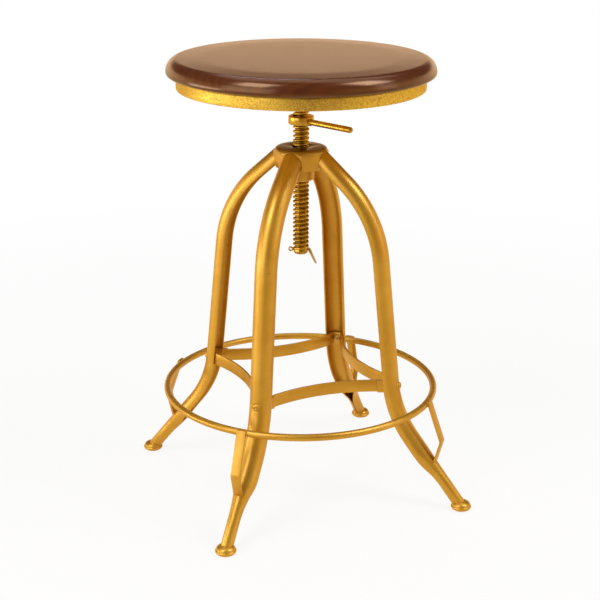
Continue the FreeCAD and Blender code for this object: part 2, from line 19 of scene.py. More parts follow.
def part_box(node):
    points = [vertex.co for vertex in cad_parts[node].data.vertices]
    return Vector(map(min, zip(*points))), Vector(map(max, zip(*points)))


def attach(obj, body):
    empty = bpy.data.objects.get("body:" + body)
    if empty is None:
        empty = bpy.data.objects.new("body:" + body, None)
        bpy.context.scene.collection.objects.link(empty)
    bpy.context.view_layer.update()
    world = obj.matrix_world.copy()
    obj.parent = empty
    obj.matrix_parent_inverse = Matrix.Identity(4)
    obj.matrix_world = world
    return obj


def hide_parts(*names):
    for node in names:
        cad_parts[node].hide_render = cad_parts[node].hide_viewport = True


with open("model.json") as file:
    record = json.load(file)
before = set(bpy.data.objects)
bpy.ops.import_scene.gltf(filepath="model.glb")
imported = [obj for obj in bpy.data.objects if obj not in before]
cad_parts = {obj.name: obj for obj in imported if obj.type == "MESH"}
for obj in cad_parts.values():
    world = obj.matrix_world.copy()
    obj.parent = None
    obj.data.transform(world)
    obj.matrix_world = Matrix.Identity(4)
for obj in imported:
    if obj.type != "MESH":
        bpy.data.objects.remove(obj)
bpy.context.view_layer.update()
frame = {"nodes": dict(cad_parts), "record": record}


record = frame["record"]
body_of = {node: body for body, nodes in record["behaviour"]["bodies"].items() for node in nodes}
slot_of = {entry["node"]: entry["material_slot"] for entry in record["subparts"]}

# %% [markdown]
# ## Writing materials in code
# A material is a small network of nodes. Typing out every link is tiring to read,
# so one helper adds a node, sets its options and fills its inputs. An input that is
# given a socket is linked to it, and anything else is a plain value on the input.

# %% Helpers that add a node
def fill(tree, node, inputs):
    """Link each input that is given a socket, and put any other value on the input."""
    for key, value in inputs.items():
        if isinstance(value, bpy.types.NodeSocket):
            tree.links.new(value, node.inputs[key])
        else:
            node.inputs[key].default_value = value


def add(tree, kind, inputs=None, **options):
    """Add a node to a tree, set its options, and link or fill its inputs."""
    made = tree.nodes.new(kind)
    for option, value in options.items():
        setattr(made, option, value)
    fill(tree, made, inputs or {})
    return made


def mix(tree, share, first, second):
    """Mix two colours by a mask, and give the socket with the result."""
    made = add(tree, "ShaderNodeMix", {0: share, 6: first, 7: second}, data_type="RGBA")
    return made.outputs[2]


def remap(tree, value, low, high, to_low=0.0, to_high=1.0):
    """Stretch a range of values to another one, and hold it there."""
    made = add(tree, "ShaderNodeMapRange", {0: value, 1: low, 2: high, 3: to_low, 4: to_high})
    return made.outputs[0]


def maths(tree, operation, first, second):
    """Reckon with two values, one of them or both from sockets."""
    return add(tree, "ShaderNodeMath", {0: first, 1: second}, operation=operation).outputs[0]


def tint(tree, colour, mask, strength, other):
    """Lay another colour over the first by a mask, no stronger than the given share."""
    return mix(tree, maths(tree, "MULTIPLY", mask, strength), colour, other)


def noise(tree, place, scale, detail, roughness=0.5):
    """A Noise texture at a place. Its first output is the value, its second a colour."""
    inputs = {"Vector": place, "Scale": scale, "Detail": detail, "Roughness": roughness}
    return add(tree, "ShaderNodeTexNoise", inputs).outputs


print("helpers ready: fill, add, mix, remap, maths, tint, noise")

# %% Helpers for node groups
def new_group(name, values, outputs):
    """A node group with a vector and named values to take: (tree, its inputs, output node)."""
    tree = bpy.data.node_groups.new(name, "ShaderNodeTree")
    tree.interface.new_socket("Vector", in_out="INPUT", socket_type="NodeSocketVector")
    for label, value in values.items():
        socket = tree.interface.new_socket(label, in_out="INPUT", socket_type="NodeSocketFloat")
        socket.default_value = value
    for label in outputs:
        tree.interface.new_socket(label, in_out="OUTPUT", socket_type="NodeSocketFloat")
    return tree, tree.nodes.new("NodeGroupInput").outputs, tree.nodes.new("NodeGroupOutput")


def give(tree, out, **results):
    """Link results to the outputs of a group."""
    fill(tree, out, results)
    print(tree.name, "gives", list(results))


print("groups take a vector first, so that every pattern sits on Object coordinates")

# %% [markdown]
# ## What sprayed gold does
# Powder coat is melted plastic with metal flake in it. Up close it has three sizes
# of detail: soft clouds where the coat is thicker, an even orange-peel ripple, and
# single flakes that catch the light. One group makes all three, because the frame,
# the seat pan and the screws each need it at a scale of their own. Flakes could be
# an image, but cells of a Voronoi texture stay sharp at any distance.

# %% Group: clouds, ripple and flakes
coat, given, out = new_group(
    "Sprayed Coat",
    {"Cloud Scale": 14.0, "Ripple Scale": 700.0, "Flake Scale": 1200.0},
    ["Clouds", "Ripple", "Flakes", "Height"],
)
place = given["Vector"]
clouds = noise(coat, place, given["Cloud Scale"], 5.0, 0.6)[0]
ripple = noise(coat, place, given["Ripple Scale"], 2.0)[0]
cells = add(coat, "ShaderNodeTexVoronoi", {"Vector": place, "Scale": given["Flake Scale"]})
flakes = add(coat, "ShaderNodeSeparateColor", {"Color": cells.outputs["Color"]}).outputs[0]
ripple_part = maths(coat, "MULTIPLY", ripple, 0.7)
height = maths(coat, "ADD", ripple_part, maths(coat, "MULTIPLY", flakes, 0.3))
clouds = remap(coat, clouds, 0.36, 0.64)
give(coat, out, Clouds=clouds, Ripple=ripple, Flakes=flakes, Height=height)

# %% [markdown]
# ## Where edges are rubbed
# Paint wears off corners first. The meshes below mark their bevelled strips with an
# attribute called wear, and this group breaks that strip up with noise so that the
# rubbing comes and goes. A second output is a sparse field of small knocks that
# can sit anywhere, as on any stool that has been moved about.

# %% Group: rubbed edges and knocks
rubbed, given, out = new_group("Rubbed Edges", {"Scale": 60.0, "Reach": 0.5}, ["Edges", "Knocks"])
place = given["Vector"]
mark = add(rubbed, "ShaderNodeAttribute", attribute_name="wear").outputs["Fac"]
patches = noise(rubbed, place, given["Scale"], 6.0, 0.65)[0]
lift = maths(rubbed, "MULTIPLY", given["Reach"], 0.2)
worn = maths(rubbed, "GREATER_THAN", maths(rubbed, "ADD", patches, lift), 0.55)
edges = maths(rubbed, "MULTIPLY", mark, worn)
specks = noise(rubbed, place, maths(rubbed, "MULTIPLY", given["Scale"], 2.2), 3.0)[0]
give(rubbed, out, Edges=edges, Knocks=remap(rubbed, specks, 0.7, 0.74))

# %% [markdown]
# ## Distance from the spindle
# The hub's top round the spindle and the roots of the thread get painted shade, and
# both are found by their distance from the spindle. Every piece shares one origin,
# under the spindle, so the distance from the Z axis is the same measure for all of
# them. This group gives it in metres.

# %% Group: distance from the axis
axis_group, given, out = new_group("Distance From Axis", {}, ["Radius", "Height"])
place = given["Vector"]
flat = add(axis_group, "ShaderNodeVectorMath", {0: place, 1: (1.0, 1.0, 0.0)}, operation="MULTIPLY")
length = add(axis_group, "ShaderNodeVectorMath", {0: flat.outputs[0]}, operation="LENGTH")
split = add(axis_group, "ShaderNodeSeparateXYZ", {0: place})
give(axis_group, out, Radius=length.outputs["Value"], Height=split.outputs["Z"])

# %% Helpers for materials
def spaced(values):
    """Keyword names with spaces for their underscores, as the sockets have them."""
    return {name.replace("_", " "): value for name, value in values.items()}


def new_material(name, **constants):
    """A material with one Principled shader: (material, tree, place on the object)."""
    made = bpy.data.materials.new(name)
    made.use_nodes = True
    tree = made.node_tree
    fill(tree, tree.nodes["Principled BSDF"], spaced(constants))
    return made, tree, add(tree, "ShaderNodeTexCoord").outputs["Object"]


def use_group(tree, group, **inputs):
    """Put a group into a material, and give its outputs."""
    made = tree.nodes.new("ShaderNodeGroup")
    made.node_tree = group
    fill(tree, made, spaced(inputs))
    return made.outputs


def link_surface(made, colour, roughness, height, strength, depth):
    """Link a colour, a roughness and a bump to the shader, with the depth in metres."""
    tree = made.node_tree
    bump = add(tree, "ShaderNodeBump", {"Strength": strength, "Distance": depth, "Height": height})
    surface = {"Base Color": colour, "Roughness": roughness, "Normal": bump.outputs[0]}
    fill(tree, tree.nodes["Principled BSDF"], surface)
    print(made.name, "has", len(tree.nodes), "nodes")


print("materials start from one Principled shader each")

# %% [markdown]
# ## The frame's gold paint
# The legs look like satin metal, not like yellow plastic: highlights are gold too.
# So the shader is mostly metallic, with a warm edge tint, and the clouds move the
# colour between a browner and a yellower gold. A clear coat over it gives the paler
# part of the highlights. Round the spindle the hub's top is painted dark brown, as
# painted shade under the seat, and the rubbed edges go paler and shinier.

# %% Gold paint
gold_paint, tree, place = new_material(
    "gold_paint", Metallic=0.78, Specular_Tint=(1.0, 0.70, 0.26, 1.0),
    Coat_Weight=0.85, Coat_Roughness=0.32,
)
fine = use_group(tree, coat, Vector=place, Cloud_Scale=16.0, Ripple_Scale=620.0, Flake_Scale=1500.0)
rub = use_group(tree, rubbed, Vector=place, Scale=70.0, Reach=0.5)
axis = use_group(tree, axis_group, Vector=place)
colour = mix(tree, fine["Clouds"], (0.55, 0.290, 0.014, 1), (0.65, 0.372, 0.034, 1))
colour = tint(tree, colour, remap(tree, fine["Flakes"], 0.8, 1.0), 0.1, (0.85, 0.55, 0.13, 1))
colour = tint(tree, colour, rub["Edges"], 0.6, (0.90, 0.62, 0.20, 1))
colour = tint(tree, colour, rub["Knocks"], 0.35, (0.30, 0.155, 0.03, 1))
# Painted shade: the hub's top round the spindle is darkened to a dark brown, broken up by the
# clouds.
by_spindle = remap(tree, axis["Radius"], 0.0375, 0.0315)
on_hub_top = remap(tree, axis["Height"], 0.481, 0.487)
shade_breakup = remap(tree, fine["Clouds"], 0.0, 1.0, 0.75, 1.0)
hub_top_shade = maths(tree, "MULTIPLY", maths(tree, "MULTIPLY", by_spindle, on_hub_top), shade_breakup)
colour = mix(tree, hub_top_shade, colour, (0.062, 0.026, 0.007, 1))
satin = remap(tree, fine["Ripple"], 0.3, 0.7, 0.39, 0.44)
roughness = maths(tree, "SUBTRACT", satin, maths(tree, "MULTIPLY", rub["Edges"], 0.05))
link_surface(gold_paint, colour, roughness, fine["Height"], 0.08, 0.00004)

# %% [markdown]
# ## The seat pan's coarse gold
# The pan under the wood is sprayed with a much coarser, yellower coat: at arm's
# length it sparkles. The same group does it with cells twice as large, more
# contrast between them, and a deeper bump.

# %% Coarse gold of the pan and flange
pan_gold, tree, place = new_material(
    "pan_gold", Metallic=0.7, Specular_Tint=(1.0, 0.85, 0.45, 1.0)
)
coarse = use_group(tree, coat, Vector=place, Cloud_Scale=9.0, Ripple_Scale=500.0, Flake_Scale=760.0)
rub = use_group(tree, rubbed, Vector=place, Scale=50.0, Reach=0.4)
colour = mix(tree, coarse["Clouds"], (0.54, 0.320, 0.063, 1), (0.82, 0.545, 0.070, 1))
light_flakes = remap(tree, coarse["Flakes"], 0.5, 1.0)
dark_flakes = remap(tree, coarse["Flakes"], 0.35, 0.0)
colour = tint(tree, colour, light_flakes, 0.5, (0.95, 0.72, 0.10, 1))
colour = tint(tree, colour, dark_flakes, 0.5, (0.28, 0.15, 0.030, 1))
colour = tint(tree, colour, rub["Edges"], 0.5, (1.0, 0.80, 0.30, 1))
roughness = remap(tree, coarse["Flakes"], 0.0, 1.0, 0.50, 0.34)
link_surface(pan_gold, colour, roughness, coarse["Height"], 0.5, 0.0004)

# %% [markdown]
# ## Brass on the spindle, lock nut and lever
# Bright plating shows the light as a soft mirror would. The roots of the thread are
# nearest the axis, so the distance group finds them: from 9.4 mm down to 8.1 mm the
# brass is painted a dark olive, as painted shade in the grooves, and the crest keeps its brass
# colour.

# %% Brass with painted shade in the thread roots
brass, tree, place = new_material("brass", Metallic=1.0, Specular_Tint=(1.0, 0.85, 0.55, 1.0))
fine = use_group(tree, coat, Vector=place, Cloud_Scale=90.0, Ripple_Scale=500.0, Flake_Scale=900.0)
rub = use_group(tree, rubbed, Vector=place, Scale=160.0, Reach=0.7)
axis = use_group(tree, axis_group, Vector=place)
colour = mix(tree, fine["Clouds"], (0.36, 0.215, 0.028, 1), (0.72, 0.46, 0.080, 1))
# Painted shade: the thread roots are tinted a dark olive.
root_shade = remap(tree, axis["Radius"], 0.0094, 0.0081)
colour = tint(tree, colour, root_shade, 0.75, (0.16, 0.095, 0.012, 1))
colour = tint(tree, colour, rub["Edges"], 0.8, (0.98, 0.76, 0.30, 1))
roughness = remap(tree, fine["Clouds"], 0.0, 1.0, 0.38, 0.22)
link_surface(brass, colour, roughness, fine["Height"], 0.3, 0.0001)

# %% [markdown]
# ## Yellow zinc on the small screws and nuts
# Zinc plating is duller than brass and has a faint blotchy passivation, from a pale
# straw to a darker one. The coat group's clouds give the blotches.

# %% Yellow zinc
zinc, tree, place = new_material("yellow_zinc", Metallic=1.0)
scales = {"Cloud_Scale": 220.0, "Ripple_Scale": 900.0, "Flake_Scale": 1600.0}
fine = use_group(tree, coat, Vector=place, **scales)
colour = mix(tree, fine["Clouds"], (0.46, 0.36, 0.17, 1), (0.74, 0.58, 0.26, 1))
roughness = remap(tree, fine["Ripple"], 0.3, 0.7, 0.26, 0.42)
link_surface(zinc, colour, roughness, fine["Height"], 0.2, 0.00006)

# %% [markdown]
# ## Stained wood under satin lacquer
# The seat is a dark stained board. Grain is rings cut lengthwise: bands that run
# along the board, bent by noise, with fine pores drawn out along them. A Wave
# texture makes the bands and a stretched Noise the pores, both on Object
# coordinates, so that the grain runs over the rounded edge as it does in a solid
# board. The stain hides most of it. The lacquer is the shader's own reflection, made
# stronger and a little red, with a low roughness that is higher over the pores.

# %% Group: board grain
grain_group, given, out = new_group(
    "Board Grain", {"Ring Scale": 5.0, "Pore Scale": 320.0}, ["Rings", "Pores", "Stain"]
)
place = given["Vector"]
board = add(
    grain_group, "ShaderNodeMapping",
    {"Vector": place, "Rotation": (0.05, 0.09, 0.62), "Scale": (0.16, 1.0, 1.0)},
).outputs[0]
warp = noise(grain_group, board, 7.0, 3.0)[1]
bent = add(
    grain_group, "ShaderNodeVectorMath",
    {0: warp, 1: (0.09, 0.09, 0.09), 2: board}, operation="MULTIPLY_ADD",
).outputs[0]
rings = add(
    grain_group, "ShaderNodeTexWave",
    {"Vector": bent, "Scale": given["Ring Scale"],
     "Distortion": 2.4, "Detail": 3.0, "Detail Scale": 1.4},
    wave_type="BANDS", bands_direction="Y", wave_profile="SIN",
).outputs["Fac"]
thin = add(grain_group, "ShaderNodeMapping", {"Vector": bent, "Scale": (0.12, 1.0, 1.0)}).outputs[0]
pores = remap(grain_group, noise(grain_group, thin, given["Pore Scale"], 3.0, 0.7)[0], 0.52, 0.68)
stain = remap(grain_group, noise(grain_group, place, 11.0, 4.0)[0], 0.3, 0.7)
give(grain_group, out, Rings=rings, Pores=pores, Stain=stain)

# %% Dark stained wood
dark_wood, tree, place = new_material(
    "dark_wood", Specular_IOR_Level=0.8, Specular_Tint=(1.0, 0.66, 0.42, 1.0),
    Sheen_Weight=0.08, Sheen_Roughness=0.3, Sheen_Tint=(1.0, 0.62, 0.34, 1.0),
)
grain = use_group(tree, grain_group, Vector=place, Ring_Scale=34.0, Pore_Scale=520.0)
colour = mix(tree, grain["Rings"], (0.066, 0.0145, 0.0038, 1), (0.092, 0.021, 0.0056, 1))
colour = tint(tree, colour, grain["Stain"], 0.5, (0.078, 0.0175, 0.0047, 1))
colour = tint(tree, colour, grain["Pores"], 0.35, (0.036, 0.0095, 0.004, 1))
roughness = remap(tree, grain["Pores"], 0.0, 1.0, 0.20, 0.25)
sunk_pores = maths(tree, "MULTIPLY", grain["Pores"], -1.0)
link_surface(dark_wood, colour, roughness, sunk_pores, 0.05, 0.00005)

# %% [markdown]
# ## Black nylon and red fibre
# Two small hidden materials: the glides are moulded nylon with a low shine, and the
# lock washer is pressed fibre, dull and speckled.

# %% Nylon and fibre
nylon, tree, place = new_material("black_nylon")
scales = {"Cloud_Scale": 300.0, "Ripple_Scale": 1500.0, "Flake_Scale": 2500.0}
fine = use_group(tree, coat, Vector=place, **scales)
colour = mix(tree, fine["Clouds"], (0.014, 0.014, 0.015, 1), (0.035, 0.034, 0.033, 1))
roughness = remap(tree, fine["Ripple"], 0.3, 0.7, 0.42, 0.62)
link_surface(nylon, colour, roughness, fine["Height"], 0.3, 0.0001)

fibre, tree, place = new_material("red_fibre")
scales = {"Cloud_Scale": 240.0, "Ripple_Scale": 1300.0, "Flake_Scale": 1800.0}
fine = use_group(tree, coat, Vector=place, **scales)
colour = mix(tree, fine["Flakes"], (0.10, 0.035, 0.020, 1), (0.19, 0.075, 0.040, 1))
roughness = remap(tree, fine["Ripple"], 0.3, 0.7, 0.65, 0.85)
link_surface(fibre, colour, roughness, fine["Height"], 0.5, 0.00015)

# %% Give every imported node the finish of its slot
finishes = {
    "gold_paint": gold_paint,
    "gold_metallic_paint": pan_gold,
    "brassed_steel": brass,
    "zinc_screw": zinc,
    "lacquered_wood": dark_wood,
    "glide_plastic": nylon,
    "fibre_washer": fibre,
}
for node, item in frame["nodes"].items():
    item.data.materials.clear()
    item.data.materials.append(finishes[slot_of[node]])
print("finishes given to", len(frame["nodes"]), "nodes")

# %% [markdown]
# ## Turning a shape on the lathe
# The seat, the pan, the feet and the lock nut are round, so each is one outline spun
# about an axis, as a wood turner or a press tool makes it. The outline is a few
# points in millimetres, with arcs where the real edge is rounded.

# %% Helpers for turned pieces
MM = 0.001


def arc(centre, radii, start, end, count):
    """Points along an ellipse's edge from one angle to another."""
    points = []
    for index in range(count + 1):
        angle = math.radians(start + (end - start) * index / count)
        across = centre[0] + radii[0] * math.cos(angle)
        points.append((across, centre[1] + radii[1] * math.sin(angle)))
    return points


def lathe(points, steps, closed=False):
    """Spin an outline of (radius, height) in millimetres about the Z axis."""
    bm = bmesh.new()
    verts = [bm.verts.new((radius * MM, 0, height * MM)) for radius, height in points]
    edges = [bm.edges.new(pair) for pair in zip(verts, verts[1:])]
    if closed:
        edges.append(bm.edges.new((verts[-1], verts[0])))
    bmesh.ops.spin(
        bm, geom=verts + edges, cent=(0, 0, 0), axis=(0, 0, 1),
        angle=2 * math.pi, steps=steps, use_merge=True,
    )
    bmesh.ops.remove_doubles(bm, verts=bm.verts, dist=1e-6)
    bmesh.ops.recalc_face_normals(bm, faces=bm.faces)
    return bm


print("lathe ready")

# %% Helpers that finish a mesh
def into_mesh(bm, name):
    """Turn a bmesh into a mesh, and free it."""
    mesh = bpy.data.meshes.new(name)
    bm.to_mesh(mesh)
    bm.free()
    return mesh


def merge(bm, other):
    """Put a second bmesh into the first, and free it."""
    spare = into_mesh(other, "spare")
    bm.from_mesh(spare)
    bpy.data.meshes.remove(spare)


def new_object(name, data):
    """An object in the scene."""
    made = bpy.data.objects.new(name, data)
    bpy.context.scene.collection.objects.link(made)
    return made


def finish_piece(bm, name, node, replaces=(), crease=32):
    """Shade a bmesh, and make it a piece with its node's finish that rides with its body."""
    for face in bm.faces:
        face.smooth = True
    for edge in bm.edges:
        if len(edge.link_faces) == 2:
            edge.smooth = edge.calc_face_angle() < math.radians(crease)
    mesh = into_mesh(bm, name)
    mesh.materials.append(finishes[slot_of[node]])
    piece = new_object(name, mesh)
    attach(piece, body_of[node])
    if replaces:
        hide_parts(*replaces)
    print(name, len(mesh.polygons), "faces")


print("finish_piece ready")

# %% [markdown]
# ## The wooden seat
# A round board 356 mm across, with a broad soft edge above and a small one below.
# A sphere squashed flat would have no flat top, so the outline has a straight top
# that falls by less than a millimetre near the edge, as sanding leaves it, then a
# quarter of an ellipse and a small arc. The lathe does the rest. The recess under
# it leaves room for the nut on the spindle.

# %% Turn the seat
outline = [(0, 600), (17, 600), (17, 588)]
outline += arc((174, 592), (4, 4), -90, 0, 6)
outline += arc((163, 592), (15, 17.1), 0, 90, 22)[1:]
outline += [(156, 609.31), (148, 609.55), (140, 609.77), (135, 609.9), (130, 609.97), (125, 610)]
outline += [(80, 610), (0, 610)]
finish_piece(lathe(outline, 180), "turned_seat", "wood_seat", ["wood_seat"])

# %% [markdown]
# ## The seat pan
# A shallow pressed tray, upside down under the wood. Its corner is rounded by the
# press, and its lower rim is rolled in, so that no cut edge faces a knee.

# %% Press the pan
outline = [(17, 588), (156, 588)]
outline += arc((160, 583), (5, 5), 90, 0, 8)
outline += [(165, 574)]
outline += arc((163.9, 570.7), (1.1, 1.2), 0, -180, 8)
outline += [(162.3, 571.2), (163.3, 573), (163.4, 582)]
outline += arc((159.6, 582.6), (3.8, 3.8), 0, 90, 6)
outline += [(17, 586.4)]
finish_piece(lathe(outline, 180, closed=True), "pressed_pan", "seat_pan", ["seat_pan"])

# %% [markdown]
# ## The spindle and its thread
# A screw thread is the outline of one groove, carried round the axis while it
# climbs. The spin operator does just that when it is given a small rise for each
# step. The crest is rounded, because a used spindle has no sharp crests, and the
# first and last turns sink into plain collars. The CAD has the same 6 mm pitch,
# 11 mm radius and right-hand climb.

# %% Cut the thread
PITCH = 6.0
TURNS = 38
STEPS_PER_TURN = 36
THREAD_START = 342.5
groove = [(8.0, 0.0), (8.0, 0.55), (8.35, 0.95), (10.35, 1.75), (10.85, 2.1), (11.0, 2.6)]
groove += [(radius, PITCH - rise) for radius, rise in reversed(groove)]
thread = bmesh.new()
line = [thread.verts.new((radius * MM, 0, (THREAD_START + rise) * MM)) for radius, rise in groove]
edges = [thread.edges.new(pair) for pair in zip(line, line[1:])]
bmesh.ops.spin(
    thread, geom=line + edges, cent=(0, 0, 0), axis=(0, 0, 1),
    dvec=(0, 0, PITCH * MM / STEPS_PER_TURN),
    angle=2 * math.pi * TURNS, steps=STEPS_PER_TURN * TURNS, use_merge=False,
)
bmesh.ops.remove_doubles(thread, verts=thread.verts, dist=3e-6)
print("thread has", len(thread.faces), "faces")

# %% Let its ends sink into the collars
COLLAR_RADIUS = 9.3
FULL_TURNS = (344.5, 577.0)
SLOPE = 0.45
for vert in thread.verts:
    radius = vert.co.xy.length / MM
    height = vert.co.z / MM
    past_end = max(0.0, min(height - FULL_TURNS[0], FULL_TURNS[1] - height))
    allowed = COLLAR_RADIUS + past_end * SLOPE
    if radius > allowed:
        vert.co.xy *= allowed / radius
open_edges = [edge for edge in thread.edges if len(edge.link_faces) == 1]
bmesh.ops.holes_fill(thread, edges=open_edges, sides=0)
bmesh.ops.triangulate(thread, faces=[face for face in thread.faces if len(face.verts) > 4])
bmesh.ops.recalc_face_normals(thread, faces=thread.faces)
outline = [(0, 341), (8, 341), (9.1, 341.7), (9.5, 342.6), (9.5, 347), (7.9, 348.6), (7.9, 576.9)]
outline += [(9.5, 578.5), (9.5, 581.9), (6, 581.9), (6, 596.4), (5.6, 596.8), (0, 596.8)]
merge(thread, lathe(outline, 48))
finish_piece(thread, "threaded_spindle", "spindle", ["spindle"], crease=50)

# %% [markdown]
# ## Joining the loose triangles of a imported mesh
# The legs, the hub and the braces already have the right shape in the frame, but a
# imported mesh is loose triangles, which shade as flat facets. A copy is joined at
# its doubles, triangles in one plane are dissolved into whole faces, and its sharp
# edges get a narrow bevel. A bent sheet and a casting both have such an edge, and
# it is what catches the light. The bevelled strip is marked with the attribute wear.

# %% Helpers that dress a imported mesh
SHARP_ANGLE = 38


def joined(node):
    """A bmesh of a node with its doubles joined and its flat faces whole."""
    bm = bmesh.new()
    bm.from_mesh(frame["nodes"][node].data)
    bmesh.ops.remove_doubles(bm, verts=bm.verts, dist=2e-6)
    bmesh.ops.dissolve_limit(bm, angle_limit=math.radians(0.15), verts=bm.verts, edges=bm.edges)
    return bm


def soften(bm, width):
    """Bevel the sharp edges by no more than they can take, and mark the strip as worn."""
    sharp = []
    for edge in bm.edges:
        if len(edge.link_faces) == 2 and edge.calc_face_angle() > math.radians(SHARP_ANGLE):
            sharp.append(edge)
    made = bmesh.ops.bevel(
        bm, geom=sharp, offset=width * MM, offset_type="OFFSET", affect="EDGES",
        segments=2, profile=0.5, material=-1, clamp_overlap=True,
    )
    layer = bm.loops.layers.float.new("wear")
    for face in made["faces"]:
        for loop in face.loops:
            loop[layer] = 1.0


print("joined and soften ready")

# %% Dress the frame's sheet and cast pieces
corners = {"back_right": 45, "back_left": 135, "front_left": 225, "front_right": 315}
widths = {"hub": 0.8, "seat_flange": 0.5, "spindle_bush": 0.5, "stop_pin": 0.05, "brace_nuts": 0.35}
for node in ("brace_left", "brace_right", "brace_front", "brace_back"):
    widths[node] = 0.4
for corner in corners:
    widths["leg_" + corner] = 0.4
    widths["ring_bar_" + corner] = 0.4
for node, width in widths.items():
    bm = joined(node)
    soften(bm, width)
    finish_piece(bm, "dressed_" + node, node, [node])

# %% [markdown]
# ## The foot ring
# A rod bent to a circle. A circle of 24 points, stood upright at the ring's radius,
# is carried once round the axis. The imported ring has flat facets, so its box is a
# few hundredths of a millimetre narrower than the rod, and this one stays within it.

# %% Bend the ring
RING_RADIUS = 187.14
RING_HEIGHT = 149
ROD_RADIUS = 4.75
rod = arc((RING_RADIUS, RING_HEIGHT), (ROD_RADIUS, ROD_RADIUS), 0, 345, 23)
finish_piece(lathe(rod, 200, closed=True), "bent_foot_ring", "foot_ring", ["foot_ring"])

# %% [markdown]
# ## Feet
# Each foot is a pressed steel button, rounded over the top with a lip that runs
# back under to the glide. It is turned at the origin and carried out to its leg.

# %% Turn the feet
outline = [(8, 2.0), (8, 0.5), (9.4, 0.5), (10.8, 0.9), (12.3, 1.9), (13.5, 3.3)]
outline += [(14.0, 4.6), (13.95, 5.6), (13.4, 6.4), (12.9, 6.7), (12.7, 7.1)]
outline += arc((2.5, 7.4), (10.3, 5.6), 0, 90, 14)
outline += [(0, 13), (0, 2)]
foot_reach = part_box("glide_back_right")[0].xy.lerp(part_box("glide_back_right")[1].xy, 0.5).length
for corner, azimuth in corners.items():
    bm = lathe(outline, 64)
    out_to_leg = Matrix.Translation((foot_reach, 0, 0))
    bm.transform(Matrix.Rotation(math.radians(azimuth), 4, "Z") @ out_to_leg)
    finish_piece(bm, "button_foot_" + corner, "foot_" + corner, ["foot_" + corner])

# %% [markdown]
# ## Bolts through the legs
# Each leg has one domed bolt with a small dimple in its head. The outline is turned
# upright, tipped to point outwards, and carried round to the four legs.

# %% Turn the bolts
BOLT_REACH = 146.92
BOLT_HEIGHT = 168.5


def point_outwards(bm, azimuth, reach, height):
    """Tip an upright piece to point outwards, and carry it out and up, in millimetres."""
    tip = Matrix.Translation((reach * MM, 0, height * MM)) @ Matrix.Rotation(math.pi / 2, 4, "Y")
    bm.transform(Matrix.Rotation(math.radians(azimuth), 4, "Z") @ tip)


outline = [(0, 1.9), (0.8, 2.0), (1.25, 2.6), (1.85, 2.95), (2.9, 2.8), (4.0, 2.35), (4.8, 1.7)]
outline += [(5.3, 0.9), (5.3, -1.0), (2.5, -1.0), (2.5, -14.5), (2.1, -14.9), (0, -14.9)]
bolts = bmesh.new()
for azimuth in corners.values():
    bolt = lathe(outline, 28)
    point_outwards(bolt, azimuth, BOLT_REACH, BOLT_HEIGHT)
    merge(bolts, bolt)
finish_piece(bolts, "domed_bolts", "brace_bolts", ["brace_bolts"], crease=45)

# %% [markdown]
# ## The lock nut and its lever
# A round nut with the lever let into its side. Both are turned: the nut about the
# spindle, and the lever about its own length, with a rounded end for the hand and
# a small weld collar where it enters the nut.

# %% Turn the nut and lever
LEVER_AZIMUTH = -65.2
LEVER_HEIGHT = 524.8
outline = [(11.3, 531.5), (11.3, 522.5), (14.3, 522.5), (14.3, 520.5)]
outline += [(15.8, 520.5), (16.6, 520.9), (17, 521.7), (17, 530.2)]
outline += arc((15.7, 530.2), (1.3, 1.3), 0, 90, 4)[1:]
finish_piece(lathe(outline, 72, closed=True), "turned_lock_nut", "lock_nut", ["lock_nut"])
outline = [(0, 14.5), (4, 14.5), (4, 16.6), (5.0, 17.0), (5.2, 17.8), (4.6, 18.6), (4, 19.0)]
outline += arc((0, 86.6), (4, 4), 0, 90, 8)[:-1] + [(0, 90.6)]
lever = lathe(outline, 32)
point_outwards(lever, LEVER_AZIMUTH, 0, LEVER_HEIGHT)
finish_piece(lever, "lever_rod", "lock_lever", ["lock_lever"])

# %% [markdown]
# ## Weld beads
# Where steel meets steel the stool is welded, and the bead shows through the paint
# as a row of small overlapping drops. Drawing each row by hand would take long and
# drift off the joint, so the joint is measured: an edge of one piece whose ends
# both lie on the other piece's surface belongs to the seam. A drop is set on it
# wherever the others are two thirds of a drop's radius away, so that they overlap.

# %% A helper that finds the places of a seam
TOUCHING = 0.08


def seam_places(node, other, spacing):
    """Points, with a spacing in millimetres, where edges of a node touch another node."""
    bm = joined(node)
    goal = joined(other)
    surface = BVHTree.FromBMesh(goal)
    places = []
    for edge in bm.edges:
        if len(edge.link_faces) != 2 or edge.calc_face_angle() < math.radians(15):
            continue
        ends = [vert.co.copy() for vert in edge.verts]
        gaps = [surface.find_nearest(end, 1 * MM)[3] for end in ends]
        if None in gaps or max(gaps) > TOUCHING * MM:
            continue
        parts = max(1, round((ends[1] - ends[0]).length / (spacing * MM)))
        for index in range(parts + 1):
            spot = ends[0].lerp(ends[1], index / parts)
            if all((spot - known).length > spacing * MM * 0.75 for known in places):
                places.append(spot)
    bm.free()
    goal.free()
    return places


print("seam_places ready")

